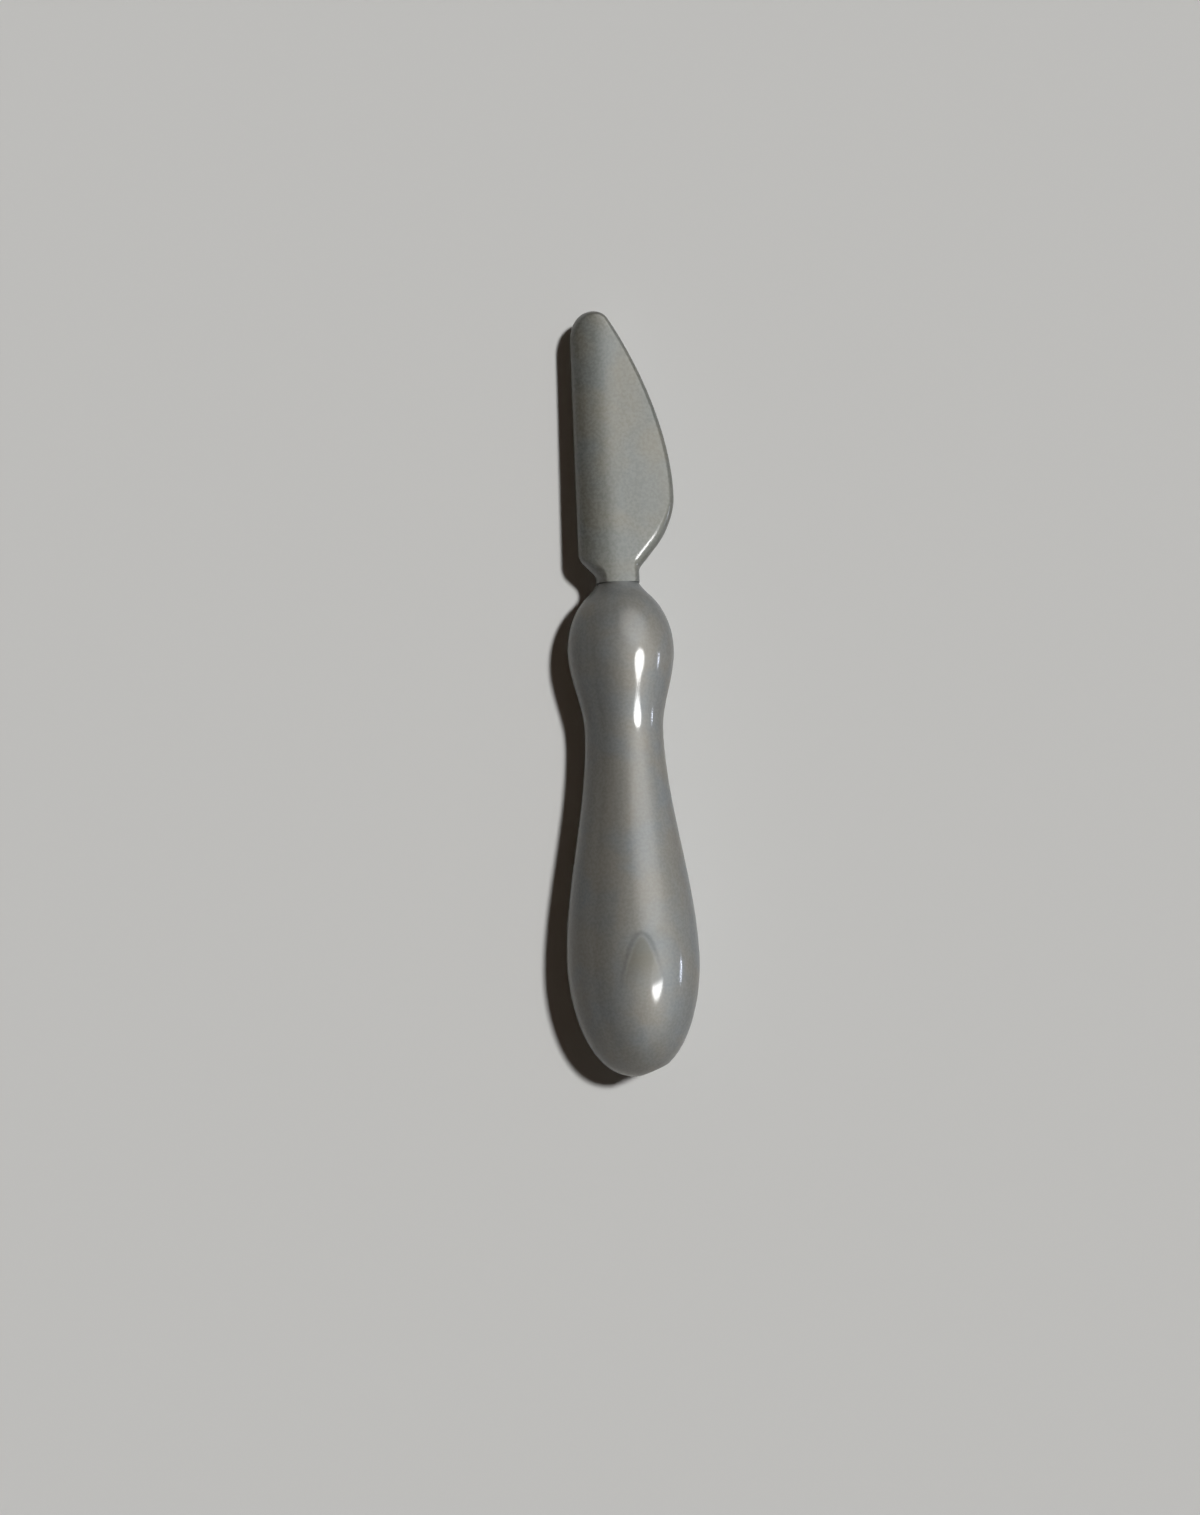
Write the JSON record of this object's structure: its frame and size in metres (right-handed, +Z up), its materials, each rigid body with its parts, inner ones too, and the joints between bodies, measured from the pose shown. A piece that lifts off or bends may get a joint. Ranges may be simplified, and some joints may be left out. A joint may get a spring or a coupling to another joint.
{
  "type": "miniature kitchen knife",
  "caption": "Miniature kitchen knife in pearl-grey plastic: flat rounded blade with a straight spine and curved belly, and a round handle with two bulbs and a thin waist.",
  "frame": {"origin": "on the supporting surface, below the handle's axis and midway along the knife", "axes": "+Y from the butt to the tip, +X towards the cutting edge, +Z up, square to the blade's middle plane"},
  "size_m": [0.0052, 0.0306, 0.0053],
  "materials": {
    "blade_plastic": "moulded pearl-grey plastic with a soft metallic sheen",
    "handle_plastic": "moulded pearl-grey plastic with a soft metallic sheen"
  },
  "bodies": {
    "root": {"blade": "blade_plastic", "handle": "handle_plastic"}
  },
  "joints": []
}
